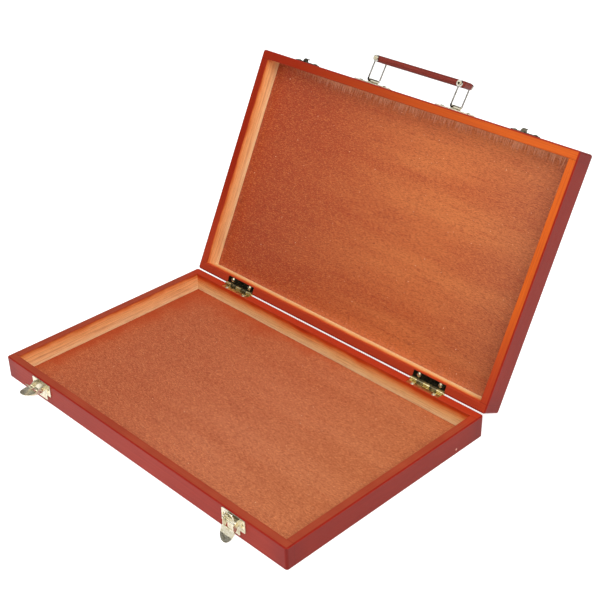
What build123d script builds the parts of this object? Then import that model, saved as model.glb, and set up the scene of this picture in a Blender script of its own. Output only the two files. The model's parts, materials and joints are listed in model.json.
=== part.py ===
from build123d import *
import os
from math import asin, cos, radians, sin

# A shallow hinged wooden carrying case: two trays, two butt hinges, two toggle
# latches with their keepers and a folding carrying handle. Millimetres.
# X runs along the case, -Y is the front (latch) side and +Z is up. The origin
# is the centre of the base's underside, which rests on the table.
# Every lid piece is laid out with the lid closed and then swung open.

# ---- case ----
CASE_LENGTH = 380.0
CASE_DEPTH = 235.0
TRAY_HEIGHT = 22.2
WALL = 8.4
PANEL = 3.6
REBATE = 4.0
PANEL_PLAY = 0.1
CORNER_ROUND = 2.4
EDGE_ROUND = 1.0
RIM_ROUND = 0.9
RIM_GAP = 0.6
LID_OPEN_ANGLE = 116.7

FRONT = -CASE_DEPTH / 2
BACK = CASE_DEPTH / 2
LID_RIM = TRAY_HEIGHT + RIM_GAP
LID_MIDDLE = LID_RIM + TRAY_HEIGHT / 2

# ---- hinges ----
HINGE_CENTRES = {"left": -125.4, "right": 126.0}
HINGE_LENGTH = 38.0
HINGE_SETBACK = 0.2
HINGE_Y = BACK + HINGE_SETBACK
HINGE_Z = TRAY_HEIGHT + RIM_GAP / 2
LEAF_WIDTH = 7.7
LEAF_THICKNESS = 0.9
LEAF_CORNER = 2.2
KNUCKLE_RADIUS = 1.7
KNUCKLE_COUNT = 5
KNUCKLE_PLAY = 0.15
HINGE_PIN_RADIUS = 0.9
PIN_HEAD_RADIUS = 1.4
PIN_HEAD_THICKNESS = 0.5
RUNNING_PLAY = 0.05
BARREL_CLEARANCE = 0.2
STOP_TAB_WIDTH = 27.0
STOP_TAB_LENGTH = 6.0
STOP_TAB_PLAY = 0.02
HINGE_SCREW_SPREAD = 12.4
HINGE_SCREW_INSET = 5.0

# ---- screws ----
SCREW_HEAD_RADIUS = 2.2
SCREW_DOME = 0.7
SCREW_SHANK_RADIUS = 1.1
SCREW_LENGTH = 7.0
SCREW_SLOT = 0.5
SLOT_DEPTH = 0.4

# ---- latches ----
LATCH_CENTRES = {"left": -132.5, "right": 131.0}
LEVER_ANGLES = {"left": 66.0, "right": 0.0}
LINK_LEANS = {"left": 44.0, "right": 14.0}
LATCH_PLATE_LENGTH = 27.5
LATCH_PLATE_HEIGHT = 12.0
LATCH_PLATE_BOTTOM = 9.2
SHEET = 0.8
PLATE_CORNER = 1.6
LATCH_SCREW_SPREAD = 10.9
LATCH_SCREW_Z = 15.2
PLATE_TAB_BOTTOM = 3.6
PLATE_TAB_HALF_WIDTH = 7.4
EAR_INNER = 6.4
EAR_OUTER = 7.1
EAR_RADIUS = 2.4
PIVOT_OUT = 3.9
PIVOT_Z = 17.0
RIVET_RADIUS = 0.9
RIVET_HEAD_RADIUS = 1.5
RIVET_HEAD_THICKNESS = 0.5
CHEEK_INNER = 5.6
CHEEK_OUTER = 6.3
CHEEK_RADIUS = 2.5
TONGUE_THICKNESS = 0.7
TONGUE_HALF_WIDTH = 7.6
TONGUE_TIP_RADIUS = 7.3
TONGUE_TOP = (6.1, 10.9)
TONGUE_BEND = (6.3, 10.2)
TONGUE_MIDDLE = (8.6, 5.4)
TONGUE_TIP = (12.0, 0.5)
FLANGE_DEPTH = 1.6
LINK_PIVOT_OUT = 2.6
LINK_PIVOT_Z = 14.0
LINK_PIN_RADIUS = 0.8
LINK_EYE_RADIUS = 1.5
LINK_HALF_WIDTH = 5.3
LINK_THICKNESS = 0.6
LINK_TOP_Z = 26.2
LINK_TAIL_Z = 10.7
LINK_CORNER = 2.6
WINDOW_HALF_WIDTH = 3.7
WINDOW_BOTTOM_Z = 20.2
WINDOW_TOP_Z = 25.4
WINDOW_CORNER = 1.2

# ---- keepers ----
KEEPER_HEIGHT = 7.4
KEEPER_RISE = 1.7
HOOK_RADIUS = 3.2
HOOK_THICKNESS = 0.6
HOOK_FLOOR_RISE = 1.9
HOOK_LIP_HALF_WIDTH = 1.4
HOOK_HEIGHT = 4.4

# ---- handle ----
BAIL_SPREAD = 50.0
HANDLE_LEAN = 5.0
HANDLE_PLATE_LENGTH = 38.0
HANDLE_PLATE_WIDTH = 12.6
HANDLE_PLATE_THICKNESS = 1.0
HANDLE_SCREW_SPREAD = 15.0
BAIL_PIVOT_OUT = 2.6
BAIL_TUBE_RADIUS = 1.9
BAIL_WIRE_RADIUS = 0.8
BAIL_HALF_WIDTH = 8.75
BAIL_LEG = 21.2
BAIL_BEND = 1.8
EYE_RADIUS = 2.9
EYE_HALF_THICKNESS = 0.9
GRIP_LENGTH = 108.0
GRIP_WIDTH = 15.4
GRIP_THICKNESS = 6.2
GRIP_ROUND = 2.4
GRIP_PIN_RADIUS = 1.0
GRIP_PIN_HEAD_RADIUS = 1.9
GRIP_PIN_HEAD_THICKNESS = 0.6

LID_SWING = (
    Pos(0, HINGE_Y, HINGE_Z)
    * Rot(-LID_OPEN_ANGLE, 0, 0)
    * Pos(0, -HINGE_Y, -HINGE_Z)
)
LID_MIRROR = Plane(origin=(0, 0, HINGE_Z), z_dir=(0, 0, 1))
FLOOR_ALIGN = (Align.CENTER, Align.CENTER, Align.MIN)


def flipped(part):
    """Turn a base piece into the lid piece that lies face to face with it."""
    return mirror(part, about=LID_MIRROR)


def x_cylinder(radius, low, high, y, z):
    """Cylinder along X between two X positions."""
    return Pos((low + high) / 2, y, z) * Rot(0, 90, 0) * Cylinder(radius, high - low)


def z_cylinder(radius, low, high, x, y):
    """Cylinder along Z between two heights."""
    return Pos(x, y, (low + high) / 2) * Cylinder(radius, high - low)


def front_plate(length, bottom, top, thickness, corner):
    """Thin plate standing on the front face, centred on X = 0."""
    outline = RectangleRounded(length, top - bottom, corner)
    sheet = extrude(Plane.XZ * outline, thickness)
    return Pos(0, FRONT, (top + bottom) / 2) * sheet


def side_profile(points, low, high):
    """Extrude an outline given as (distance out from the front, height)."""
    outline = Polyline(*[(FRONT - out, z) for out, z in points], close=True)
    face = make_face(Plane.YZ * outline)
    return Pos(low, 0, 0) * extrude(face, high - low, dir=(1, 0, 0))


# ---- screws ----
def screw_blank():
    """Countersunk screw pointing down, with the rim of its domed head at Z = 0."""
    ball = (SCREW_HEAD_RADIUS**2 + SCREW_DOME**2) / (2 * SCREW_DOME)
    half_angle = asin(SCREW_HEAD_RADIUS / ball) / 2
    arc_middle = (ball * sin(half_angle), SCREW_DOME - ball + ball * cos(half_angle))
    neck = SCREW_SHANK_RADIUS - SCREW_HEAD_RADIUS
    outline = Polyline(
        (0, SCREW_DOME),
        (0, -SCREW_LENGTH),
        (SCREW_SHANK_RADIUS, 2 * SCREW_SHANK_RADIUS - SCREW_LENGTH),
        (SCREW_SHANK_RADIUS, neck),
        (SCREW_HEAD_RADIUS, 0),
    )
    dome = ThreePointArc((SCREW_HEAD_RADIUS, 0), arc_middle, (0, SCREW_DOME))
    return revolve(make_face(Plane.XZ * (outline + dome)), Axis.Z)


def screw():
    """The screw with a cross slot in its head."""
    slot = Box(SCREW_SLOT, 1.2 * SCREW_HEAD_RADIUS, 2 * SLOT_DEPTH)
    cross = slot + Rot(0, 0, 90) * slot
    return screw_blank() - Pos(0, 0, SCREW_DOME) * cross


def hinge_screw_spots():
    """Base hinge screws, pointing down with their heads on the leaves."""
    surface = HINGE_Z - KNUCKLE_RADIUS + LEAF_THICKNESS
    spots = []
    for centre in HINGE_CENTRES.values():
        for side in (-1, 1):
            x = centre + side * HINGE_SCREW_SPREAD
            spots.append(Pos(x, BACK - HINGE_SCREW_INSET, surface))
    return spots


def front_screw_spots(centres, spread, surface, z):
    """Screws driven into a front face, heads outward."""
    spots = []
    for centre in centres:
        for side in (-1, 1):
            place = Pos(centre + side * spread, FRONT - surface, z)
            spots.append(place * Rot(90, 0, 0))
    return spots


LATCH_SCREWS = front_screw_spots(
    LATCH_CENTRES.values(), LATCH_SCREW_SPREAD, SHEET, LATCH_SCREW_Z
)
KEEPER_SCREWS = front_screw_spots(
    LATCH_CENTRES.values(),
    LATCH_SCREW_SPREAD,
    SHEET,
    LID_RIM + KEEPER_RISE + KEEPER_HEIGHT / 2,
)
HANDLE_SCREWS = front_screw_spots(
    (-BAIL_SPREAD, BAIL_SPREAD),
    HANDLE_SCREW_SPREAD,
    HANDLE_PLATE_THICKNESS,
    LID_MIDDLE,
)


def without_screws(part, spots):
    """Cut the holes the screws sit in."""
    for spot in spots:
        part -= spot * screw_blank()
    return part


# ---- trays ----
def tray_ring():
    """All four walls of a tray as one ring, rounded and rebated for its panel."""
    ring = Box(CASE_LENGTH, CASE_DEPTH, TRAY_HEIGHT, align=FLOOR_ALIGN)
    ring = fillet(ring.edges().filter_by(Axis.Z), CORNER_ROUND)
    flat_edges = ring.faces().sort_by(Axis.Z)[0].edges() + ring.faces().sort_by(Axis.Z)[-1].edges()
    ring = fillet(flat_edges, EDGE_ROUND)
    inside = Box(
        CASE_LENGTH - 2 * WALL, CASE_DEPTH - 2 * WALL, TRAY_HEIGHT, align=FLOOR_ALIGN
    )
    ring -= inside
    rim = ring.faces().sort_by(Axis.Z)[-1]
    ring = fillet(rim.inner_wires()[0].edges(), RIM_ROUND)
    rebate = Box(
        CASE_LENGTH - 2 * WALL + 2 * REBATE,
        CASE_DEPTH - 2 * WALL + 2 * REBATE,
        PANEL,
        align=FLOOR_ALIGN,
    )
    return ring - rebate


def tray_panel():
    """Plywood sheet that fills the rebate."""
    length = CASE_LENGTH - 2 * WALL + 2 * REBATE - 2 * PANEL_PLAY
    depth = CASE_DEPTH - 2 * WALL + 2 * REBATE - 2 * PANEL_PLAY
    return Box(length, depth, PANEL, align=FLOOR_ALIGN)


def tray_walls():
    """Front and back run the full length; the sides fit between them."""
    ring = tray_ring()
    long_cut = Box(CASE_LENGTH, WALL, TRAY_HEIGHT, align=FLOOR_ALIGN)
    short_cut = Box(WALL, CASE_DEPTH - 2 * WALL, TRAY_HEIGHT, align=FLOOR_ALIGN)
    across = (CASE_DEPTH - WALL) / 2
    along = (CASE_LENGTH - WALL) / 2
    return {
        "front": ring & Pos(0, -across, 0) * long_cut,
        "back": ring & Pos(0, across, 0) * long_cut,
        "left": ring & Pos(-along, 0, 0) * short_cut,
        "right": ring & Pos(along, 0, 0) * short_cut,
    }


def hinge_recess(centre):
    """Mortise for a leaf in the rim and a round relief for the barrel."""
    depth = TRAY_HEIGHT - (HINGE_Z - KNUCKLE_RADIUS)
    mortise = Pos(centre, BACK - LEAF_WIDTH / 2, TRAY_HEIGHT) * Box(
        HINGE_LENGTH, LEAF_WIDTH, 2 * depth
    )
    relief = x_cylinder(
        KNUCKLE_RADIUS + BARREL_CLEARANCE,
        centre - HINGE_LENGTH / 2 - 1.5 * PIN_HEAD_THICKNESS,
        centre + HINGE_LENGTH / 2 + 1.5 * PIN_HEAD_THICKNESS,
        HINGE_Y,
        HINGE_Z,
    )
    return mortise + relief


def base_walls():
    """Base walls with hinge recesses and screw holes."""
    walls = tray_walls()
    for centre in HINGE_CENTRES.values():
        walls["back"] -= hinge_recess(centre)
    walls["back"] = without_screws(walls["back"], hinge_screw_spots())
    walls["front"] = without_screws(walls["front"], LATCH_SCREWS)
    return walls


def lid_walls():
    """Lid walls, closed, mirrored from the base's."""
    walls = tray_walls()
    for centre in HINGE_CENTRES.values():
        walls["back"] -= hinge_recess(centre)
    walls["back"] = without_screws(walls["back"], hinge_screw_spots())
    walls = {name: flipped(wall) for name, wall in walls.items()}
    walls["front"] = without_screws(walls["front"], KEEPER_SCREWS + HANDLE_SCREWS)
    return walls


# ---- hinges ----
def knuckles(radius, indices, play):
    """Cylinders about the hinge axis at the chosen knuckle places."""
    pitch = HINGE_LENGTH / KNUCKLE_COUNT
    shapes = []
    for index in indices:
        low = index * pitch - HINGE_LENGTH / 2 + play
        high = low + pitch - 2 * play
        shapes.append(x_cylinder(radius, low, high, HINGE_Y, HINGE_Z))
    return Part() + shapes


def stop_tab():
    """Tab that meets its twin on the other leaf when the lid is fully open."""
    length = STOP_TAB_LENGTH - HINGE_PIN_RADIUS
    tab = Box(STOP_TAB_WIDTH, LEAF_THICKNESS, length)
    hang = Pos(
        0,
        -LEAF_THICKNESS / 2 - STOP_TAB_PLAY,
        -HINGE_PIN_RADIUS - length / 2,
    )
    tilt = Rot((180 - LID_OPEN_ANGLE) / 2, 0, 0)
    return Pos(0, HINGE_Y, HINGE_Z) * tilt * hang * tab


def hinge_leaf(own, other, bore):
    """Leaf on the base side of the closed hinge, centred on X = 0."""
    width = LEAF_WIDTH + HINGE_SETBACK
    plate = Box(HINGE_LENGTH, width, LEAF_THICKNESS)
    corners = plate.edges().filter_by(Axis.Z).group_by(Axis.Y)[0]
    plate = fillet(corners, LEAF_CORNER)
    plate = (
        Pos(
            0,
            HINGE_Y - width / 2,
            HINGE_Z - KNUCKLE_RADIUS + LEAF_THICKNESS / 2,
        )
        * plate
    )
    leaf = plate + stop_tab()
    leaf -= knuckles(KNUCKLE_RADIUS + BARREL_CLEARANCE, other, 0)
    leaf += knuckles(KNUCKLE_RADIUS, own, KNUCKLE_PLAY)
    leaf -= x_cylinder(bore, -HINGE_LENGTH, HINGE_LENGTH, HINGE_Y, HINGE_Z)
    for side in (-1, 1):
        spot = Pos(
            side * HINGE_SCREW_SPREAD,
            BACK - HINGE_SCREW_INSET,
            HINGE_Z - KNUCKLE_RADIUS + LEAF_THICKNESS,
        )
        leaf -= spot * screw_blank()
    return leaf


def hinge_pin():
    """Hinge pin with a flat head at each end."""
    end = HINGE_LENGTH / 2
    pin = x_cylinder(HINGE_PIN_RADIUS, -end, end, HINGE_Y, HINGE_Z)
    for low, high in (
        (-end - PIN_HEAD_THICKNESS, -end),
        (end, end + PIN_HEAD_THICKNESS),
    ):
        pin += x_cylinder(PIN_HEAD_RADIUS, low, high, HINGE_Y, HINGE_Z)
    return pin


def hinge(side):
    """The three pieces of one hinge, lid leaf already swung open."""
    odd = range(0, KNUCKLE_COUNT, 2)
    even = range(1, KNUCKLE_COUNT, 2)
    place = Pos(HINGE_CENTRES[side], 0, 0)
    base_leaf = hinge_leaf(odd, even, HINGE_PIN_RADIUS)
    lid_leaf = flipped(hinge_leaf(even, odd, HINGE_PIN_RADIUS + RUNNING_PLAY))
    return {
        f"hinge_{side}_base_leaf": place * base_leaf,
        f"hinge_{side}_lid_leaf": LID_SWING * place * lid_leaf,
        f"hinge_{side}_pin": place * hinge_pin(),
    }


# ---- latches ----
def pivot_turn(out, z, angle):
    """Turn about an X axis given by its distance out and its height."""
    return Pos(0, FRONT - out, z) * Rot(angle, 0, 0) * Pos(0, out - FRONT, -z)


def latch_plate():
    """Plate with a tab behind the lever and two ears that carry its rivets."""
    top = LATCH_PLATE_BOTTOM + LATCH_PLATE_HEIGHT
    plate = front_plate(
        LATCH_PLATE_LENGTH, LATCH_PLATE_BOTTOM, top, SHEET, PLATE_CORNER
    )
    plate += front_plate(
        2 * PLATE_TAB_HALF_WIDTH, PLATE_TAB_BOTTOM, PIVOT_Z, SHEET, PLATE_CORNER
    )
    for low, high in ((-EAR_OUTER, -EAR_INNER), (EAR_INNER, EAR_OUTER)):
        web = side_profile(
            [
                (0, PIVOT_Z - EAR_RADIUS),
                (PIVOT_OUT, PIVOT_Z - EAR_RADIUS),
                (PIVOT_OUT, PIVOT_Z + EAR_RADIUS),
                (0, PIVOT_Z + EAR_RADIUS),
            ],
            low,
            high,
        )
        plate += web + x_cylinder(EAR_RADIUS, low, high, FRONT - PIVOT_OUT, PIVOT_Z)
    plate -= x_cylinder(
        RIVET_RADIUS, -EAR_OUTER, EAR_OUTER, FRONT - PIVOT_OUT, PIVOT_Z
    )
    for side in (-1, 1):
        spot = Pos(side * LATCH_SCREW_SPREAD, FRONT - SHEET, LATCH_SCREW_Z)
        plate -= spot * Rot(90, 0, 0) * screw_blank()
    return plate


def latch_rivets():
    """Short rivets fixed in the ears; the lever's cheeks turn on them."""
    rivets = []
    for side in (-1, 1):
        ends = sorted((side * CHEEK_INNER, side * EAR_OUTER))
        head = sorted((side * EAR_OUTER, side * (EAR_OUTER + RIVET_HEAD_THICKNESS)))
        shank = x_cylinder(RIVET_RADIUS, *ends, FRONT - PIVOT_OUT, PIVOT_Z)
        rivets.append(
            shank + x_cylinder(RIVET_HEAD_RADIUS, *head, FRONT - PIVOT_OUT, PIVOT_Z)
        )
    return rivets


def lever_tongue():
    """Bent sheet from the lever's web down to its thumb tip."""
    centre_line = [TONGUE_TOP, TONGUE_BEND, TONGUE_MIDDLE, TONGUE_TIP]
    outer = [(out + TONGUE_THICKNESS / 2, z) for out, z in centre_line]
    inner = [(out - TONGUE_THICKNESS / 2, z) for out, z in reversed(centre_line)]
    sheet = side_profile(outer + inner, -TONGUE_HALF_WIDTH, TONGUE_HALF_WIDTH)
    bend_z = TONGUE_BEND[1]
    tip_z = TONGUE_TIP[1]
    web = Pos(0, FRONT, bend_z) * Box(
        2 * CHEEK_OUTER, CASE_DEPTH / 2, TRAY_HEIGHT, align=FLOOR_ALIGN
    )
    tip = Pos(0, FRONT, tip_z + TONGUE_TIP_RADIUS) * Rot(90, 0, 0) * Cylinder(
        TONGUE_TIP_RADIUS, CASE_DEPTH / 2
    )
    middle = Pos(0, FRONT, tip_z + TONGUE_TIP_RADIUS) * Box(
        2 * TONGUE_HALF_WIDTH,
        CASE_DEPTH / 2,
        bend_z - tip_z - TONGUE_TIP_RADIUS,
        align=FLOOR_ALIGN,
    )
    return sheet & (web + middle + tip)


def lever_cheek(low, high):
    """Side flange of the lever, from its rivet down along the tongue."""
    flange = side_profile(
        [
            (PIVOT_OUT - CHEEK_RADIUS, PIVOT_Z),
            (LINK_PIVOT_OUT - LINK_EYE_RADIUS, LINK_PIVOT_Z),
            (TONGUE_BEND[0] - 2 * FLANGE_DEPTH, TONGUE_BEND[1]),
            (TONGUE_MIDDLE[0] - FLANGE_DEPTH, TONGUE_MIDDLE[1]),
            (TONGUE_MIDDLE[0] + TONGUE_THICKNESS / 2, TONGUE_MIDDLE[1]),
            (TONGUE_BEND[0] + TONGUE_THICKNESS / 2, TONGUE_BEND[1]),
            (TONGUE_TOP[0] + TONGUE_THICKNESS / 2, TONGUE_TOP[1]),
            (PIVOT_OUT + CHEEK_RADIUS, PIVOT_Z),
        ],
        low,
        high,
    )
    return flange + x_cylinder(CHEEK_RADIUS, low, high, FRONT - PIVOT_OUT, PIVOT_Z)


def latch_lever():
    """Duckbill lever in its closed position."""
    lever = lever_tongue()
    for low, high in ((-CHEEK_OUTER, -CHEEK_INNER), (CHEEK_INNER, CHEEK_OUTER)):
        lever += lever_cheek(low, high)
    lever -= x_cylinder(
        RIVET_RADIUS + RUNNING_PLAY,
        -EAR_OUTER,
        EAR_OUTER,
        FRONT - PIVOT_OUT,
        PIVOT_Z,
    )
    lever -= x_cylinder(
        LINK_PIN_RADIUS, -EAR_OUTER, EAR_OUTER, FRONT - LINK_PIVOT_OUT, LINK_PIVOT_Z
    )
    return lever


def latch_link_pin():
    """Pin fixed in the lever's cheeks that carries the link."""
    return x_cylinder(
        LINK_PIN_RADIUS,
        -CHEEK_OUTER,
        CHEEK_OUTER,
        FRONT - LINK_PIVOT_OUT,
        LINK_PIVOT_Z,
    )


def latch_link():
    """Windowed strap, upright, from a short tail up over the keeper's hook."""
    height = LINK_TOP_Z - LINK_TAIL_Z
    middle = (LINK_TOP_Z + LINK_TAIL_Z) / 2 - LINK_PIVOT_Z
    outline = Pos(0, middle) * Rectangle(2 * LINK_HALF_WIDTH, height)
    top_corners = outline.vertices().group_by(Axis.Y)[-1]
    outline = fillet(top_corners, LINK_CORNER)
    window = RectangleRounded(
        2 * WINDOW_HALF_WIDTH, WINDOW_TOP_Z - WINDOW_BOTTOM_Z, WINDOW_CORNER
    )
    window_z = (WINDOW_TOP_Z + WINDOW_BOTTOM_Z) / 2 - LINK_PIVOT_Z
    outline -= Pos(0, window_z) * window
    strap = extrude(Plane.XZ * outline, LINK_THICKNESS / 2, both=True)
    strap = Pos(0, FRONT - LINK_PIVOT_OUT, LINK_PIVOT_Z) * strap
    eye = x_cylinder(
        LINK_EYE_RADIUS,
        -LINK_HALF_WIDTH,
        LINK_HALF_WIDTH,
        FRONT - LINK_PIVOT_OUT,
        LINK_PIVOT_Z,
    )
    hole = x_cylinder(
        LINK_PIN_RADIUS + RUNNING_PLAY,
        -EAR_OUTER,
        EAR_OUTER,
        FRONT - LINK_PIVOT_OUT,
        LINK_PIVOT_Z,
    )
    return strap + eye - hole


def latch(side):
    """All pieces of one latch, with its lever and link where they rest."""
    place = Pos(LATCH_CENTRES[side], 0, 0)
    swing = pivot_turn(PIVOT_OUT, PIVOT_Z, -LEVER_ANGLES[side])
    link_turn = LINK_LEANS[side] + LEVER_ANGLES[side]
    lean = pivot_turn(LINK_PIVOT_OUT, LINK_PIVOT_Z, link_turn)
    return {
        f"latch_{side}_plate": place * latch_plate(),
        f"latch_{side}_rivets": [place * rivet for rivet in latch_rivets()],
        f"latch_{side}_lever": place * swing * latch_lever(),
        f"latch_{side}_link_pin": place * swing * latch_link_pin(),
        f"latch_{side}_link": place * swing * lean * latch_link(),
    }


# ---- keepers ----
def keeper():
    """Plate with a half-round hook, on the closed lid's front face."""
    bottom = LID_RIM + KEEPER_RISE
    plate = front_plate(
        LATCH_PLATE_LENGTH, bottom, bottom + KEEPER_HEIGHT, SHEET, PLATE_CORNER
    )
    floor_z = LID_RIM + HOOK_FLOOR_RISE
    disc_y = FRONT - SHEET
    disc = z_cylinder(HOOK_RADIUS, floor_z, floor_z + HOOK_THICKNESS, 0, disc_y)
    shell = z_cylinder(HOOK_RADIUS, floor_z, floor_z + HOOK_HEIGHT, 0, disc_y)
    shell -= z_cylinder(
        HOOK_RADIUS - HOOK_THICKNESS, floor_z, floor_z + HOOK_HEIGHT, 0, disc_y
    )
    lip_zone = Pos(0, disc_y - HOOK_RADIUS, floor_z) * Box(
        2 * HOOK_LIP_HALF_WIDTH, HOOK_RADIUS, HOOK_HEIGHT, align=FLOOR_ALIGN
    )
    outside = Pos(0, disc_y - HOOK_RADIUS, floor_z) * Box(
        2 * HOOK_RADIUS, 2 * HOOK_RADIUS, HOOK_HEIGHT, align=FLOOR_ALIGN
    )
    part = plate + (disc & outside) + (shell & lip_zone)
    for side in (-1, 1):
        spot = Pos(
            side * LATCH_SCREW_SPREAD, FRONT - SHEET, bottom + KEEPER_HEIGHT / 2
        )
        part -= spot * Rot(90, 0, 0) * screw_blank()
    return part


# ---- handle ----
def handle_plate():
    """Screwed plate with the tube that the bail's foot turns in."""
    plate = front_plate(
        HANDLE_PLATE_LENGTH,
        LID_MIDDLE - HANDLE_PLATE_WIDTH / 2,
        LID_MIDDLE + HANDLE_PLATE_WIDTH / 2,
        HANDLE_PLATE_THICKNESS,
        PLATE_CORNER,
    )
    low = LID_MIDDLE - HANDLE_PLATE_WIDTH / 2
    high = LID_MIDDLE + HANDLE_PLATE_WIDTH / 2
    tube_y = FRONT - BAIL_PIVOT_OUT
    plate += z_cylinder(BAIL_TUBE_RADIUS, low, high, 0, tube_y)
    plate -= z_cylinder(BAIL_WIRE_RADIUS + RUNNING_PLAY, low, high, 0, tube_y)
    for side in (-1, 1):
        spot = Pos(
            side * HANDLE_SCREW_SPREAD, FRONT - HANDLE_PLATE_THICKNESS, LID_MIDDLE
        )
        plate -= spot * Rot(90, 0, 0) * screw_blank()
    return plate


def handle_bail():
    """U-shaped wire with an eye at each end; its foot lies on the Z axis."""
    leg_end = BAIL_LEG - EYE_RADIUS + BAIL_WIRE_RADIUS
    path = FilletPolyline(
        (0, -leg_end, -BAIL_HALF_WIDTH),
        (0, 0, -BAIL_HALF_WIDTH),
        (0, 0, BAIL_HALF_WIDTH),
        (0, -leg_end, BAIL_HALF_WIDTH),
        radius=BAIL_BEND,
    )
    start = Plane(origin=path @ 0, z_dir=path % 0)
    bail = sweep(start * Circle(BAIL_WIRE_RADIUS), path=path)
    for side in (-1, 1):
        middle = side * BAIL_HALF_WIDTH
        low = middle - EYE_HALF_THICKNESS
        high = middle + EYE_HALF_THICKNESS
        bail += z_cylinder(EYE_RADIUS, low, high, 0, -BAIL_LEG)
        bail -= z_cylinder(
            GRIP_PIN_RADIUS + RUNNING_PLAY, low - high, high - low, 0, -BAIL_LEG
        ).moved(Pos(0, 0, middle))
    return bail


def handle_grip():
    """Rounded bar held by one pin near each end."""
    grip = Box(GRIP_LENGTH, GRIP_THICKNESS, GRIP_WIDTH)
    grip = fillet(grip.edges(), GRIP_ROUND)
    for side in (-1, 1):
        grip -= z_cylinder(
            GRIP_PIN_RADIUS, -GRIP_WIDTH, GRIP_WIDTH, side * BAIL_SPREAD, 0
        )
    return grip


def grip_pins():
    """One headed pin through each end of the grip and the bail's eyes."""
    reach = BAIL_HALF_WIDTH + EYE_HALF_THICKNESS + RUNNING_PLAY
    head_end = reach + GRIP_PIN_HEAD_THICKNESS
    pins = []
    for side in (-1, 1):
        x = side * BAIL_SPREAD
        pin = z_cylinder(GRIP_PIN_RADIUS, -reach, reach, x, 0)
        pin += z_cylinder(GRIP_PIN_HEAD_RADIUS, reach, head_end, x, 0)
        pin += z_cylinder(GRIP_PIN_HEAD_RADIUS, -head_end, -reach, x, 0)
        pins.append(pin)
    return pins


def handle():
    """All handle pieces on the closed lid, leaning a little to one side."""
    foot = Pos(0, FRONT - BAIL_PIVOT_OUT, LID_MIDDLE)
    lean = radians(HANDLE_LEAN)
    grip_place = foot * Pos(BAIL_LEG * sin(lean), -BAIL_LEG * cos(lean), 0)
    pieces = {}
    for side, x in (("left", -BAIL_SPREAD), ("right", BAIL_SPREAD)):
        shift = Pos(x, 0, 0)
        pieces[f"handle_{side}_plate"] = shift * handle_plate()
        bail = Rot(0, 0, HANDLE_LEAN) * handle_bail()
        pieces[f"handle_{side}_bail"] = shift * foot * bail
    pieces["handle_grip"] = grip_place * handle_grip()
    pieces["handle_grip_pins"] = [grip_place * pin for pin in grip_pins()]
    pieces["handle_screws"] = [spot * screw() for spot in HANDLE_SCREWS]
    return pieces


# ---- assembly ----
def swing_open(piece):
    """Swing a closed lid piece, or a list of them, to the open position."""
    if isinstance(piece, list):
        return [LID_SWING * item for item in piece]
    return LID_SWING * piece


def base_pieces():
    """Everything fixed to the base, and the two latches."""
    pieces = {f"base_{name}_wall": wall for name, wall in base_walls().items()}
    pieces["base_panel"] = tray_panel()
    pieces["hinge_base_screws"] = [spot * screw() for spot in hinge_screw_spots()]
    pieces["latch_screws"] = [spot * screw() for spot in LATCH_SCREWS]
    for side in LATCH_CENTRES:
        pieces.update(latch(side))
    return pieces


def lid_pieces():
    """Everything carried by the lid, laid out closed."""
    pieces = {f"lid_{name}_wall": wall for name, wall in lid_walls().items()}
    pieces["lid_panel"] = flipped(tray_panel())
    pieces["hinge_lid_screws"] = [
        flipped(spot * screw()) for spot in hinge_screw_spots()
    ]
    for side, centre in LATCH_CENTRES.items():
        pieces[f"keeper_{side}"] = Pos(centre, 0, 0) * keeper()
    pieces["keeper_screws"] = [spot * screw() for spot in KEEPER_SCREWS]
    pieces.update(handle())
    return pieces


def all_pieces():
    """Every node of the case at rest: lid open, latches as they lie."""
    pieces = base_pieces()
    for name, piece in lid_pieces().items():
        pieces[name] = swing_open(piece)
    for side in HINGE_CENTRES:
        pieces.update(hinge(side))
    return pieces


os.makedirs("parts", exist_ok=True)
for node, shape in all_pieces().items():
    if isinstance(shape, list):
        shape = Compound(children=[solid for item in shape for solid in item.solids()])
    export_step(shape, f"parts/{node}.step")
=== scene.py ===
import json
import math

import bpy
from mathutils import Matrix, Vector


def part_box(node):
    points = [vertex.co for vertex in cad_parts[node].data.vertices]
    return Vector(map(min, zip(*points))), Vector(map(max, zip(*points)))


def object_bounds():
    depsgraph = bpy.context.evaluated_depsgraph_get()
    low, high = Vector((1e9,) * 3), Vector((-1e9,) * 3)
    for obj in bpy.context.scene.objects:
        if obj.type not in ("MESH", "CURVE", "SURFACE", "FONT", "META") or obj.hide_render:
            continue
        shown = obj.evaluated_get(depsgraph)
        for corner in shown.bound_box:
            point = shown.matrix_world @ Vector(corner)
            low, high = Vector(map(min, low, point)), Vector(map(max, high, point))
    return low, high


# The looks of a shallow wooden carrying case that stands open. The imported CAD
# bodies are kept as they are and get procedural materials here. Material
# coordinates are in millimetres in the frame of one closed tray: x along the
# case, y from front to back, z from the tray's outer face to its rim.

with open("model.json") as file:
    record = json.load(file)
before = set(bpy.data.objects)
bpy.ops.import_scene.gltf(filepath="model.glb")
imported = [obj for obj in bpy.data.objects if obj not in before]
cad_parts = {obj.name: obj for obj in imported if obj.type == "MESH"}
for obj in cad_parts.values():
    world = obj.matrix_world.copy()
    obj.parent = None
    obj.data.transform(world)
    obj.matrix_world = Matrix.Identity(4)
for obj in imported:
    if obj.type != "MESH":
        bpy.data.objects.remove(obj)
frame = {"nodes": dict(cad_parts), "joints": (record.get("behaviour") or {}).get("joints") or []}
cad_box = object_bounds()
nodes = frame["nodes"]
joints = {joint["name"]: joint for joint in frame["joints"]}
MM = 1000.0

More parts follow.
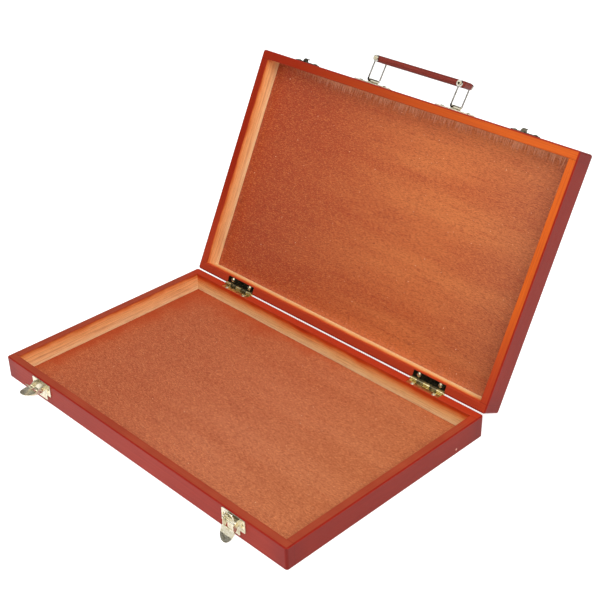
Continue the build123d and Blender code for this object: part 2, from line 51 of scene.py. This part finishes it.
# ---- sizes, read from the frame ----
front_low, front_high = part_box("base_front_wall")
side_low, side_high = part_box("base_right_wall")
HALF_LENGTH = front_high.x * MM
HALF_DEPTH = -front_low.y * MM
RIM = front_high.z * MM
WALL = (side_high.x - side_low.x) * MM
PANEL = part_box("base_panel")[1].z * MM
HINGE = Vector(joints["lid_hinge"]["pos_m"])
CLOSE_TURN = Matrix.Rotation(math.radians(joints["lid_hinge"]["range_deg"][1]), 3, "X")


def closed(point):
    """Where a point of the open lid lies in millimetres once the lid is shut."""
    return (HINGE + CLOSE_TURN @ (Vector(point) - HINGE)) * MM


LID_TOP = max(closed(corner.co).z for corner in nodes["lid_front_wall"].data.vertices)

# ---- small marks that the materials draw ----
# from the middle of a bail to its foot nearer the rim, along the axis it swings on
BAIL_FOOT_RISE = 8.7
bail_axis = closed(joints["handle_right_swing"]["pos_m"])
BAIL_FOOT = (bail_axis.x, bail_axis.y, LID_TOP - bail_axis.z + BAIL_FOOT_RISE)
left_pin = closed(joints["handle_grip_turn"]["pos_m"])
RIGHT_PIN_X = left_pin.x + 2.0 * bail_axis.x
PIN_Y = left_pin.y
# the filled nail hole in the right side of the base
PLUG_FROM_BACK = 35.8
PLUG_HEIGHT = 5.1
PLUG = (HALF_LENGTH, HALF_DEPTH - PLUG_FROM_BACK, PLUG_HEIGHT)


def colour(red, green, blue):
    """A linear colour from 0 to 255 display values."""
    def linear(value):
        value /= 255.0
        return value / 12.92 if value <= 0.04045 else ((value + 0.055) / 1.055) ** 2.4
    return (linear(red), linear(green), linear(blue), 1.0)


# ---- colours ----
LACQUER_DULL = colour(150, 38, 24)
LACQUER_BRIGHT = colour(172, 52, 34)
LACQUER_GRAIN = colour(128, 28, 18)
LACQUER_CORNER_PAINTED_SHADE = colour(114, 28, 32)
# painted shade for the end faces
LACQUER_PAINTED_SHADE = colour(92, 20, 14)
INSIDE_GRAIN = colour(176, 84, 38)
INSIDE_FIBRE = colour(150, 70, 34)
LID_RIM_LEFT = colour(148, 36, 14)
LID_RIM_RIGHT = colour(210, 96, 30)
LID_RIM_HINGE_SIDE = colour(176, 60, 34)
BASE_RIM_DARK = colour(144, 54, 36)
BASE_RIM_LIGHT = colour(174, 78, 50)
BASE_RIM_HINGE_SIDE = colour(182, 54, 26)
RIM_GRAIN = colour(150, 48, 26)
RIM_EDGE = colour(150, 34, 20)
LOWER_EDGE = colour(118, 26, 18)
GLUE_LINE = colour(96, 26, 16)
FILLER = colour(222, 170, 150)
PANEL_FIBRE = colour(126, 48, 22)
PANEL_CRACK = colour(112, 46, 26)
PANEL_SPECK = colour(244, 206, 164)
# painted shade for the crease where the panel meets the walls
PANEL_CORNER_PAINTED_SHADE = colour(150, 70, 34)
LID_FROST_AND_PAINTED_LIGHT = colour(255, 206, 172)
BASE_FRINGE = colour(170, 62, 24)
METAL_PIT = colour(120, 96, 58)
BAIL_FOOT_PAINTED_SHADE = colour(18, 17, 16)
PIN_HOLE_PAINTED_SHADE = colour(28, 26, 24)
PIN_BRIGHT = colour(236, 228, 198)
PIN_WORN = colour(196, 184, 150)
GRIP_DARK = colour(96, 30, 22)
GRIP_RED = colour(124, 42, 30)
GRIP_LIGHT = colour(150, 58, 42)
FLOOR_DARK = colour(205, 205, 206)
FLOOR_LIGHT = colour(214, 214, 214)
WHITE = (1.0, 1.0, 1.0, 1.0)

# the sprayed fade inside a wall, from the panel up to the rim
LONG_WALL_FADE = (
    (0.0, colour(255, 226, 172)),
    (0.36, colour(255, 208, 142)),
    (0.62, colour(248, 164, 92)),
    (0.84, colour(216, 76, 26)),
    (1.0, colour(176, 44, 16)),
)
SIDE_WALL_FADE = (
    (0.0, colour(255, 222, 170)),
    (0.3, colour(255, 204, 146)),
    (0.66, colour(255, 188, 122)),
    (0.88, colour(238, 140, 74)),
    (1.0, colour(188, 68, 34)),
)

# the panels' stain: deep at the left, banded dark and light, browner at the right
LID_STAIN = {
    "deep": colour(152, 44, 14),
    "dark": colour(178, 80, 34),
    "light": colour(208, 120, 62),
    "chip": colour(216, 126, 68),
    "right": colour(154, 90, 62),
}
BASE_STAIN = {
    "deep": colour(170, 78, 42),
    "dark": colour(170, 86, 52),
    "light": colour(190, 110, 74),
    "chip": colour(224, 142, 90),
    "right": colour(178, 108, 58),
}

# each metal's tint and worn shade, with its least and its most roughness
METALS = {
    "pale_brass": (colour(230, 224, 204), colour(206, 198, 168), 0.20, 0.42),
    "bright_wire": (colour(206, 204, 196), colour(160, 154, 140), 0.08, 0.24),
    "hinge_brass": (colour(236, 220, 168), colour(190, 168, 108), 0.08, 0.24),
    # painted dark reflection: darkened brass for the lid's hinge leaves
    "hinge_leaf_painted_dark": (colour(150, 138, 104), colour(70, 64, 48), 0.08, 0.22),
    "screw_brass": (colour(236, 228, 198), colour(200, 186, 146), 0.10, 0.26),
    # painted dark reflection: darkened brass for the keepers' hooks, which reflect dark
    # surroundings
    "aged_brass": (colour(112, 106, 90), colour(52, 50, 44), 0.14, 0.34),
}


class Graph:
    """The node tree of a material or a world, built with short calls."""

    def __init__(self, owner):
        self.owner = owner
        owner.use_nodes = True
        self.tree = owner.node_tree
        self.tree.nodes.clear()

    def node(self, kind, **settings):
        made = self.tree.nodes.new(kind)
        for key, value in settings.items():
            setattr(made, key, value)
        return made

    def put(self, value, socket):
        """Links a socket, or sets a plain value."""
        if isinstance(value, bpy.types.NodeSocket):
            self.tree.links.new(value, socket)
        else:
            socket.default_value = value

    def math(self, operation, a, b=0.0):
        made = self.node("ShaderNodeMath", operation=operation)
        self.put(a, made.inputs[0])
        self.put(b, made.inputs[1])
        return made.outputs[0]

    def vector(self, operation, a, b=(0.0, 0.0, 0.0)):
        made = self.node("ShaderNodeVectorMath", operation=operation)
        self.put(a, made.inputs[0])
        self.put(b, made.inputs[1])
        return made.outputs["Value" if operation in ("DISTANCE", "LENGTH") else "Vector"]

    def smooth(self, value, low, high, start=0.0, end=1.0):
        """Goes smoothly from start to end as value goes from low to high."""
        made = self.node("ShaderNodeMapRange", interpolation_type="SMOOTHSTEP")
        for key, item in zip(("Value", "From Min", "From Max", "To Min", "To Max"),
                             (value, low, high, start, end)):
            self.put(item, made.inputs[key])
        return made.outputs["Result"]

    def mix(self, factor, a, b):
        """Colour a where the factor is 0 and colour b where it is 1."""
        made = self.node("ShaderNodeMix", data_type="RGBA")
        self.put(factor, made.inputs["Factor"])
        self.put(a, made.inputs[6])
        self.put(b, made.inputs[7])
        return made.outputs[2]

    def ramp(self, factor, *stops):
        """Colours along factor; each stop is a position and a colour."""
        made = self.node("ShaderNodeValToRGB")
        elements = made.color_ramp.elements
        while len(elements) < len(stops):
            elements.new(0.5)
        for element, (position, value) in zip(elements, stops):
            element.position = position
            element.color = value
        self.put(factor, made.inputs["Fac"])
        return made.outputs["Color"]

    def noise(self, place, scale, detail=3.0, roughness=0.5, distortion=0.0):
        """Noise around 0.5; scale is features per millimetre along each axis."""
        made = self.node("ShaderNodeTexNoise")
        self.put(self.vector("MULTIPLY", place, scale), made.inputs["Vector"])
        made.inputs["Scale"].default_value = 1.0
        made.inputs["Detail"].default_value = detail
        made.inputs["Roughness"].default_value = roughness
        made.inputs["Distortion"].default_value = distortion
        return made.outputs["Fac"]

    def sway(self, value, noise, amount):
        """Moves a value up and down with noise, over a range of this amount."""
        centred = self.math("SUBTRACT", noise, 0.5)
        return self.math("ADD", value, self.math("MULTIPLY", centred, amount))

    def away_from(self, value, level):
        """How far a value is from a level, on either side."""
        return self.math("ABSOLUTE", self.math("SUBTRACT", value, level))

    def weigh(self, a, share, b):
        """This share of a and the rest of b."""
        rest = self.math("MULTIPLY", b, 1.0 - share)
        return self.math("ADD", self.math("MULTIPLY", a, share), rest)

    def split(self, vector):
        made = self.node("ShaderNodeSeparateXYZ")
        self.put(vector, made.inputs[0])
        return made.outputs[0], made.outputs[1], made.outputs[2]

    def join(self, x, y, z):
        made = self.node("ShaderNodeCombineXYZ")
        for item, socket in zip((x, y, z), made.inputs):
            self.put(item, socket)
        return made.outputs[0]

    def place(self):
        """Object coordinates in millimetres."""
        made = self.node("ShaderNodeTexCoord")
        return self.vector("MULTIPLY", made.outputs["Object"], (MM, MM, MM))

    def finish(self, base, roughness, bump=None, distance=0.0, **fixed):
        """Ends the tree in one principled shader; fixed values go on its sockets."""
        shader = self.node("ShaderNodeBsdfPrincipled")
        self.put(base, shader.inputs["Base Color"])
        self.put(roughness, shader.inputs["Roughness"])
        for key, value in fixed.items():
            shader.inputs[key.replace("_", " ")].default_value = value
        if bump is not None:
            made = self.node("ShaderNodeBump")
            made.inputs["Distance"].default_value = distance
            made.inputs["Strength"].default_value = 1.0
            self.put(bump, made.inputs["Height"])
            self.put(made.outputs["Normal"], shader.inputs["Normal"])
        output = self.node("ShaderNodeOutputMaterial")
        self.put(shader.outputs[0], output.inputs["Surface"])
        return self.owner


def new_material(name):
    """The empty node tree of a new material."""
    return Graph(bpy.data.materials.new(name))


def tray_place(graph, lid):
    """Millimetres in the closed tray's frame, z up from its outer face."""
    place = graph.place()
    if not lid:
        return place
    turn = graph.node("ShaderNodeMapping", vector_type="POINT")
    turn.inputs["Rotation"].default_value = CLOSE_TURN.to_euler()
    turn.inputs["Location"].default_value = (HINGE - CLOSE_TURN @ HINGE) * MM
    graph.put(place, turn.inputs["Vector"])
    x, y, z = graph.split(turn.outputs[0])
    return graph.join(x, y, graph.math("SUBTRACT", LID_TOP, z))


def inset_from_outside(graph, x, y):
    """How far a point lies inside the tray's outline, and inside each pair of walls."""
    from_end = graph.math("SUBTRACT", HALF_LENGTH, graph.math("ABSOLUTE", x))
    from_side = graph.math("SUBTRACT", HALF_DEPTH, graph.math("ABSOLUTE", y))
    return graph.math("MINIMUM", from_end, from_side), from_end, from_side


def lacquer_colour(graph, place, grain, from_end, from_side, shade=0.0):
    """The outside's deep red stain; painted shade and sheen darken it towards the vertical corners,
    and painted shade darkens it by the given share.
    """
    patches = graph.noise(place, (0.018, 0.03, 0.06), 2.0)
    stain = graph.mix(patches, LACQUER_DULL, LACQUER_BRIGHT)
    stain = graph.mix(graph.smooth(grain, 0.35, 0.7, 0.0, 0.45), stain, LACQUER_GRAIN)
    # painted shade and sheen: darker and more purple within 26 mm of each vertical corner
    corner = graph.math("MAXIMUM", from_end, from_side)
    corner_painted_shade = graph.smooth(corner, 2.0, 26.0, 0.45, 0.0)
    stain = graph.mix(corner_painted_shade, stain, LACQUER_CORNER_PAINTED_SHADE)
    # painted shade, by the given share
    return graph.mix(shade, stain, LACQUER_PAINTED_SHADE)


# ---- walls ----
# how much painted shade darkens the end faces
END_FACE_PAINTED_SHADE = 0.55
ARRIS_INSET = 0.5


def inside_fade(graph, z, cloud, grain, fibre, along_x):
    """The inside of a wall: tan beside the panel, sprayed red towards the rim."""
    height = graph.math("DIVIDE", graph.math("SUBTRACT", z, PANEL), RIM - PANEL)
    height = graph.sway(height, cloud, 0.35)
    inside = graph.ramp(height, *(LONG_WALL_FADE if along_x else SIDE_WALL_FADE))
    inside = graph.mix(graph.smooth(grain, 0.48, 0.66, 0.0, 0.42), inside, INSIDE_GRAIN)
    return graph.mix(graph.smooth(fibre, 0.48, 0.66, 0.0, 0.30), inside, INSIDE_FIBRE)


def rim_colour(graph, x, y, cloud, grain, lid):
    """The rim's stain: the lid's pales to the right, the base's is mottled."""
    if lid:
        front = graph.mix(graph.smooth(x, -HALF_LENGTH, HALF_LENGTH), LID_RIM_LEFT, LID_RIM_RIGHT)
        tone = graph.mix(graph.smooth(y, 0.0, HALF_DEPTH), front, LID_RIM_HINGE_SIDE)
    else:
        tone = graph.mix(cloud, BASE_RIM_DARK, BASE_RIM_LIGHT)
        tone = graph.mix(graph.smooth(y, HALF_DEPTH * 0.7, HALF_DEPTH), tone, BASE_RIM_HINGE_SIDE)
    return graph.mix(graph.smooth(grain, 0.4, 0.7, 0.0, 0.35), tone, RIM_GRAIN)


def edge_wear(graph, base, inset, z):
    """The stain gathers on the rim's outer edge and darkens along the lower edge."""
    arris = graph.math("ADD", inset, graph.math("SUBTRACT", RIM, z))
    arris = graph.away_from(arris, ARRIS_INSET)
    base = graph.mix(graph.smooth(arris, 0.3, 1.1, 0.75, 0.0), base, RIM_EDGE)
    foot = graph.math("ADD", inset, z)
    return graph.mix(graph.smooth(foot, 0.5, 1.6, 0.6, 0.0), base, LOWER_EDGE)


def glue_line(graph, base, from_end, from_side):
    """The glued corner joint shows as a fine line beside the end grain."""
    line = graph.smooth(graph.away_from(from_side, WALL), 0.08, 0.28, 0.6, 0.0)
    at_end = graph.smooth(from_end, WALL - 0.3, WALL - 0.1, 1.0, 0.0)
    return graph.mix(graph.math("MULTIPLY", line, at_end), base, GLUE_LINE)


def nail_hole(graph, base, place):
    """A filled nail hole near the back of the base's right side."""
    plug = graph.vector("DISTANCE", place, PLUG)
    return graph.mix(graph.smooth(plug, 0.7, 1.3, 0.85, 0.0), base, FILLER)


def wall_material(name, lid, along_x):
    """Stained solid wood: red lacquer outside, a sprayed fade to tan inside."""
    graph = new_material(name)
    place = tray_place(graph, lid)
    x, y, z = graph.split(place)
    inset, from_end, from_side = inset_from_outside(graph, x, y)
    grain_scale = (0.02, 1.1, 1.1) if along_x else (1.1, 0.02, 1.1)
    fibre_scale = (0.10, 4.5, 4.5) if along_x else (4.5, 0.10, 4.5)
    grain = graph.noise(place, grain_scale, 4.0, 0.6, 0.35)
    fibre = graph.noise(place, fibre_scale, 2.0, 0.6)
    cloud = graph.noise(place, (0.035, 0.05, 0.12), 3.0)

    # painted shade darkens the end faces, which the key light falls on, and the ends of the long
    # walls beside them
    shade = graph.smooth(from_end, 0.3, 2.4, END_FACE_PAINTED_SHADE, 0.0) if along_x else END_FACE_PAINTED_SHADE
    outside = lacquer_colour(graph, place, grain, from_end, from_side, shade)
    inside = inside_fade(graph, z, cloud, grain, fibre, along_x)
    base = graph.mix(graph.smooth(inset, WALL - 1.2, WALL - 0.5), outside, inside)
    at_top = graph.smooth(z, RIM - 0.9, RIM - 0.35)
    on_rim = graph.math("MULTIPLY", at_top, graph.smooth(inset, 0.5, 1.6))
    base = graph.mix(on_rim, base, rim_colour(graph, x, y, cloud, grain, lid))
    base = edge_wear(graph, base, inset, z)
    base = glue_line(graph, base, from_end, from_side)
    if not lid and not along_x:
        base = nail_hole(graph, base, place)

    roughness = graph.smooth(inset, WALL - 1.2, WALL - 0.5, 0.30, 0.46)
    roughness = graph.sway(roughness, fibre, 0.10)
    bump = graph.weigh(grain, 0.6, fibre)
    return graph.finish(base, roughness, bump, 0.00006, Specular_IOR_Level=0.08)


# ---- panels ----
CRACK_LEVEL = 0.62


def panel_ground(graph, place, x, lid):
    """Soft bands of stain, deep at the left; dusty at the lid's right, tan at the base's."""
    stain = LID_STAIN if lid else BASE_STAIN
    bands = graph.noise(place, (0.004, 0.030, 0.05), 3.0, 0.5, 0.5)
    base = graph.mix(graph.smooth(bands, 0.2, 0.8), stain["dark"], stain["light"])
    left = graph.smooth(x, -HALF_LENGTH, HALF_LENGTH * 0.5, 0.85, 0.0)
    base = graph.mix(left, base, stain["deep"])
    if lid:
        right = graph.smooth(x, HALF_LENGTH * 0.3, HALF_LENGTH * 1.1, 0.0, 0.6)
    else:
        right = graph.smooth(x, 0.0, HALF_LENGTH, 0.0, 0.45)
    return graph.mix(right, base, stain["right"])


def panel_figure(graph, base, place, streak, fibre, lid):
    """Dark streaks and short fibres, pale chips, fine cracks and a few specks."""
    stain = LID_STAIN if lid else BASE_STAIN
    chips = graph.noise(place, (0.45, 1.70, 1.0), 2.0, 0.75)
    crack = graph.noise(place, (0.010, 0.22, 0.2), 2.0, 0.5, 0.8)
    crack = graph.away_from(crack, CRACK_LEVEL)
    specks = graph.noise(place, (0.55, 0.55, 0.55), 0.0)
    base = graph.mix(graph.smooth(streak, 0.52, 0.72, 0.0, 0.35), base, stain["deep"])
    base = graph.mix(graph.smooth(fibre, 0.47, 0.61, 0.0, 0.52), base, PANEL_FIBRE)
    base = graph.mix(graph.smooth(chips, 0.50, 0.39, 0.0, 0.54), base, stain["chip"])
    base = graph.mix(graph.smooth(crack, 0.0, 0.008, 0.45, 0.0), base, PANEL_CRACK)
    return graph.mix(graph.smooth(specks, 0.85, 0.875, 0.0, 0.8), base, PANEL_SPECK)


def lid_fringe(graph, base, place, x, y, from_wall):
    """Overspray leaves a frosted fringe along the lid's walls, strongest at the front right, and
    painted extra light to lift the shade the walls cast there.
    """
    brush = graph.noise(place, (1.3, 0.10, 0.5), 3.0, 0.6)
    fringe = graph.smooth(graph.sway(from_wall, brush, 36.0), -4.0, 8.0, 0.52, 0.0)
    corner = graph.math("ADD", y, graph.math("MULTIPLY", x, -0.5))
    strength = graph.smooth(corner, -60.0, -20.0, 1.0, 0.15)
    # frosted overspray, partly painted light against the walls' shade
    return graph.mix(graph.math("MULTIPLY", fringe, strength), base, LID_FROST_AND_PAINTED_LIGHT)


def base_fringe(graph, base, place, x, y, from_wall):
    """The base's left part is sprayed redder, furthest out in its back corner."""
    spray = graph.noise(place, (0.03, 0.03, 0.03), 3.0, 0.6)
    reach = graph.smooth(graph.math("SUBTRACT", y, x), 0.0, 260.0, 8.0, 34.0)
    edge = graph.math("DIVIDE", graph.sway(from_wall, spray, 60.0), reach)
    fringe = graph.smooth(edge, -0.2, 1.0, 0.8, 0.0)
    left_part = graph.smooth(x, -40.0, 60.0, 1.0, 0.15)
    return graph.mix(graph.math("MULTIPLY", fringe, left_part), base, BASE_FRINGE)


def panel_material(name, lid):
    """Stained plywood: short fine fibres, soft bands and a sprayed fringe."""
    graph = new_material(name)
    place = tray_place(graph, lid)
    x, y, z = graph.split(place)
    inset, from_end, from_side = inset_from_outside(graph, x, y)
    from_wall = graph.math("SUBTRACT", inset, WALL)
    streak = graph.noise(place, (0.02, 0.30, 0.3), 4.0, 0.6, 0.4)
    fibre = graph.noise(place, (0.32, 1.45, 0.9), 2.0, 0.75)

    base = panel_ground(graph, place, x, lid)
    base = panel_figure(graph, base, place, streak, fibre, lid)
    fringe = lid_fringe if lid else base_fringe
    base = fringe(graph, base, place, x, y, from_wall)
    # painted shade in the crease where the panel meets the walls
    base = graph.mix(graph.smooth(from_wall, 0.0, 1.0, 0.35, 0.0), base, PANEL_CORNER_PAINTED_SHADE)
    outside = lacquer_colour(graph, place, streak, from_end, from_side)
    base = graph.mix(graph.smooth(z, 0.3, 1.0, 1.0, 0.0), base, outside)

    roughness = graph.math("ADD", 0.46, graph.math("MULTIPLY", fibre, 0.14))
    bump = graph.weigh(fibre, 0.7, streak)
    return graph.finish(base, roughness, bump, 0.00010, Specular_IOR_Level=0.35)


# ---- metal, grip and floor ----
def bail_feet_painted_shade(graph, base):
    """Painted shade: a dark spot at each bail's foot nearer the rim, where the hole of the plate's
    eye lies in shade.
    """
    x, y, z = graph.split(tray_place(graph, True))
    either_side = graph.join(graph.math("ABSOLUTE", x), y, z)
    away = graph.vector("DISTANCE", either_side, BAIL_FOOT)
    return graph.mix(graph.smooth(away, 2.3, 2.9, 0.97, 0.0), base, BAIL_FOOT_PAINTED_SHADE)


def metal_material(name, tint, shade, low, high):
    """Thin plating with fine wear, pits and scratches; the bails' wire gets painted shade at its
    feet.
    """
    graph = new_material(name)
    place = graph.place()
    cloud = graph.noise(place, (0.35, 0.35, 0.35), 3.0)
    scratch = graph.noise(place, (0.5, 7.0, 7.0), 2.0, 0.6)
    pits = graph.noise(place, (3.0, 3.0, 3.0), 2.0, 0.6)
    base = graph.mix(graph.smooth(cloud, 0.35, 0.7), tint, shade)
    base = graph.mix(graph.smooth(pits, 0.64, 0.78, 0.0, 0.5), base, METAL_PIT)
    # painted shade at the bails' feet
    if name == "bright_wire":
        base = bail_feet_painted_shade(graph, base)
    roughness = graph.smooth(scratch, 0.2, 0.8, low, high)
    bump = graph.weigh(scratch, 0.5, pits)
    return graph.finish(base, roughness, bump, 0.00002, Metallic=1.0)


def pin_material(name):
    """Pale domed pins; the right one has painted shade for the dark hole in its head."""
    graph = new_material(name)
    x, y, _ = graph.split(tray_place(graph, True))
    across = graph.math("SUBTRACT", x, RIGHT_PIN_X)
    out = graph.math("SUBTRACT", y, PIN_Y)
    away = graph.vector("LENGTH", graph.join(across, out, 0.0))
    wear = graph.noise(graph.place(), (1.5, 1.5, 1.5), 2.0)
    base = graph.mix(wear, PIN_BRIGHT, PIN_WORN)
    # painted shade in the right pin's hole
    base = graph.mix(graph.smooth(away, 1.0, 1.4, 1.0, 0.0), base, PIN_HOLE_PAINTED_SHADE)
    return graph.finish(base, graph.smooth(wear, 0.2, 0.8, 0.14, 0.36), wear, 0.00002, Metallic=1.0)


def grip_material(name):
    """Dark reddish brown satin grip with a faint lengthwise grain."""
    graph = new_material(name)
    place = tray_place(graph, True)
    grain = graph.noise(place, (0.04, 1.4, 1.4), 3.0, 0.6, 0.3)
    fine = graph.noise(place, (2.4, 2.4, 2.4), 2.0)
    base = graph.ramp(grain, (0.3, GRIP_DARK), (0.55, GRIP_RED), (0.8, GRIP_LIGHT))
    roughness = graph.smooth(fine, 0.2, 0.8, 0.26, 0.40)
    return graph.finish(base, roughness, fine, 0.00004, Specular_IOR_Level=0.2)


def floor_material(name):
    """A bright, faintly mottled studio table top."""
    graph = new_material(name)
    cloud = graph.noise(graph.place(), (0.004, 0.004, 0.004), 2.0)
    base = graph.mix(cloud, FLOOR_DARK, FLOOR_LIGHT)
    return graph.finish(base, 0.75, Emission_Color=WHITE, Emission_Strength=0.80)


# ---- painting ----
def assign(name, material):
    """Gives a CAD node one material."""
    slots = nodes[name].data.materials
    slots.clear()
    slots.append(material)


def metal_of(name):
    """Which metal a fitting's node is made of."""
    # the keepers get darkened brass as painted dark reflection
    if name.startswith("keeper_") and "screws" not in name:
        return "aged_brass"
    if "screws" in name or "rivets" in name:
        return "screw_brass"
    if "grip_pins" in name:
        return "grip_pin_brass"
    if name.startswith("hinge_"):
        # the lid's leaves take darkened brass as painted dark reflection
        return "hinge_leaf_painted_dark" if name.endswith("lid_leaf") else "hinge_brass"
    if "bail" in name or "pin" in name:
        return "bright_wire"
    return "pale_brass"


def paint_tray(tray):
    """Finishes the four walls and the panel of the base or the lid."""
    lid = tray == "lid"
    long_wall = wall_material(tray + "_long_wall_wood", lid, True)
    side_wall = wall_material(tray + "_side_wall_wood", lid, False)
    for side in ("front", "back"):
        assign(f"{tray}_{side}_wall", long_wall)
    for side in ("left", "right"):
        assign(f"{tray}_{side}_wall", side_wall)
    assign(tray + "_panel", panel_material(tray + "_plywood", lid))


def paint_fittings():
    """Finishes the grip and all the metal."""
    assign("handle_grip", grip_material("grip_satin"))
    metals = {name: metal_material(name, *look) for name, look in METALS.items()}
    metals["grip_pin_brass"] = pin_material("grip_pin_brass")
    wooden = ("_wall", "_panel", "handle_grip")
    for name in nodes:
        if not name.endswith(wooden):
            assign(name, metals[metal_of(name)])


# ---- studio ----
FLOOR_HALF = 6.0


def add_object(name, data):
    """Puts a new object in the scene."""
    made = bpy.data.objects.new(name, data)
    bpy.context.scene.collection.objects.link(made)
    return made


def direction(azimuth, elevation):
    """The unit vector at these angles in degrees; azimuth 0 is the front and 90 the right."""
    across, up = math.radians(azimuth), math.radians(elevation)
    return Vector((math.sin(across) * math.cos(up), -math.cos(across) * math.cos(up), math.sin(up)))


def area_light(name, size, energy, azimuth, elevation, distance, tint=(1.0, 1.0, 1.0)):
    """A softbox aimed at the middle of the case."""
    low, high = cad_box
    middle = (Vector(low) + Vector(high)) / 2
    back = direction(azimuth, elevation)
    data = bpy.data.lights.new(name, "AREA")
    data.shape = "RECTANGLE"
    data.size, data.size_y = size
    data.energy = energy
    data.color = tint
    lamp = add_object(name, data)
    lamp.location = middle + back * distance
    lamp.rotation_euler = (-back).to_track_quat("-Z", "Y").to_euler()


def add_floor():
    """A wide floor under the case."""
    mesh = bpy.data.meshes.new("studio_floor")
    corners = [(-1, -1), (1, -1), (1, 1), (-1, 1)]
    mesh.from_pydata([(x * FLOOR_HALF, y * FLOOR_HALF, 0) for x, y in corners], [], [(0, 1, 2, 3)])
    mesh.materials.append(floor_material("studio_floor_pale"))
    floor = add_object("studio_floor", mesh)
    floor.location.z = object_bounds()[0].z


def studio_world():
    """Soft light from above over a dark low wall, with a plain pale backdrop in view."""
    world = bpy.data.worlds.new("studio")
    graph = Graph(world)
    height = graph.split(graph.node("ShaderNodeTexCoord").outputs["Generated"])[2]
    light = graph.node("ShaderNodeBackground")
    graph.put(graph.smooth(height, 0.18, 0.55, 0.03, 0.50), light.inputs["Strength"])
    backdrop = graph.node("ShaderNodeBackground")
    graph.put(WHITE, backdrop.inputs["Color"])
    graph.put(1.0, backdrop.inputs["Strength"])
    in_view = graph.node("ShaderNodeLightPath").outputs["Is Camera Ray"]
    pick = graph.node("ShaderNodeMixShader")
    for value, socket in zip((in_view, light.outputs[0], backdrop.outputs[0]), pick.inputs):
        graph.put(value, socket)
    output = graph.node("ShaderNodeOutputWorld")
    graph.put(pick.outputs[0], output.inputs["Surface"])
    return world


def add_studio():
    """Pale floor, pale surroundings and three soft lights."""
    add_floor()
    bpy.context.scene.world = studio_world()
    area_light("key", (1.2, 1.0), energy=21.0, azimuth=72.0, elevation=46.0, distance=1.7,
               tint=(1.0, 0.985, 0.96))
    area_light("fill", (1.4, 1.2), energy=9.0, azimuth=-30.0, elevation=44.0, distance=1.9,
               tint=(0.97, 0.985, 1.0))
    area_light("top", (1.2, 1.2), energy=4.5, azimuth=20.0, elevation=85.0, distance=1.6)


# ---- camera ----
CAMERA_AZIMUTH = 46.487
CAMERA_ELEVATION = 32.201
CAMERA_ROLL = -1.502
CAMERA_PLACE = (0.67921, -0.56211, 0.62457)
CAMERA_LENS = 71.09
CAMERA_SHIFT = 0.06155
CAMERA_SENSOR = 36.0
CAMERA_REACH = (0.01, 50.0)


def add_camera():
    """Stands the camera at its azimuth, elevation and small roll."""
    back = direction(CAMERA_AZIMUTH, CAMERA_ELEVATION)
    right = direction(CAMERA_AZIMUTH + 90.0, 0.0)
    rise = back.cross(right)
    roll = math.radians(CAMERA_ROLL)
    rolled_right = right * math.cos(roll) + rise * math.sin(roll)
    rolled_rise = rise * math.cos(roll) - right * math.sin(roll)
    data = bpy.data.cameras.new("camera")
    data.sensor_width = CAMERA_SENSOR
    data.lens = CAMERA_LENS
    data.shift_y = CAMERA_SHIFT
    data.clip_start, data.clip_end = CAMERA_REACH
    camera = add_object("camera", data)
    turn = Matrix((rolled_right, rolled_rise, back)).transposed()
    camera.matrix_world = Matrix.Translation(CAMERA_PLACE) @ turn.to_4x4()
    bpy.context.scene.camera = camera


paint_tray("base")
paint_tray("lid")
paint_fittings()
add_studio()
add_camera()
bpy.context.scene.view_settings.view_transform = "Standard"
bpy.context.scene.view_settings.look = "None"
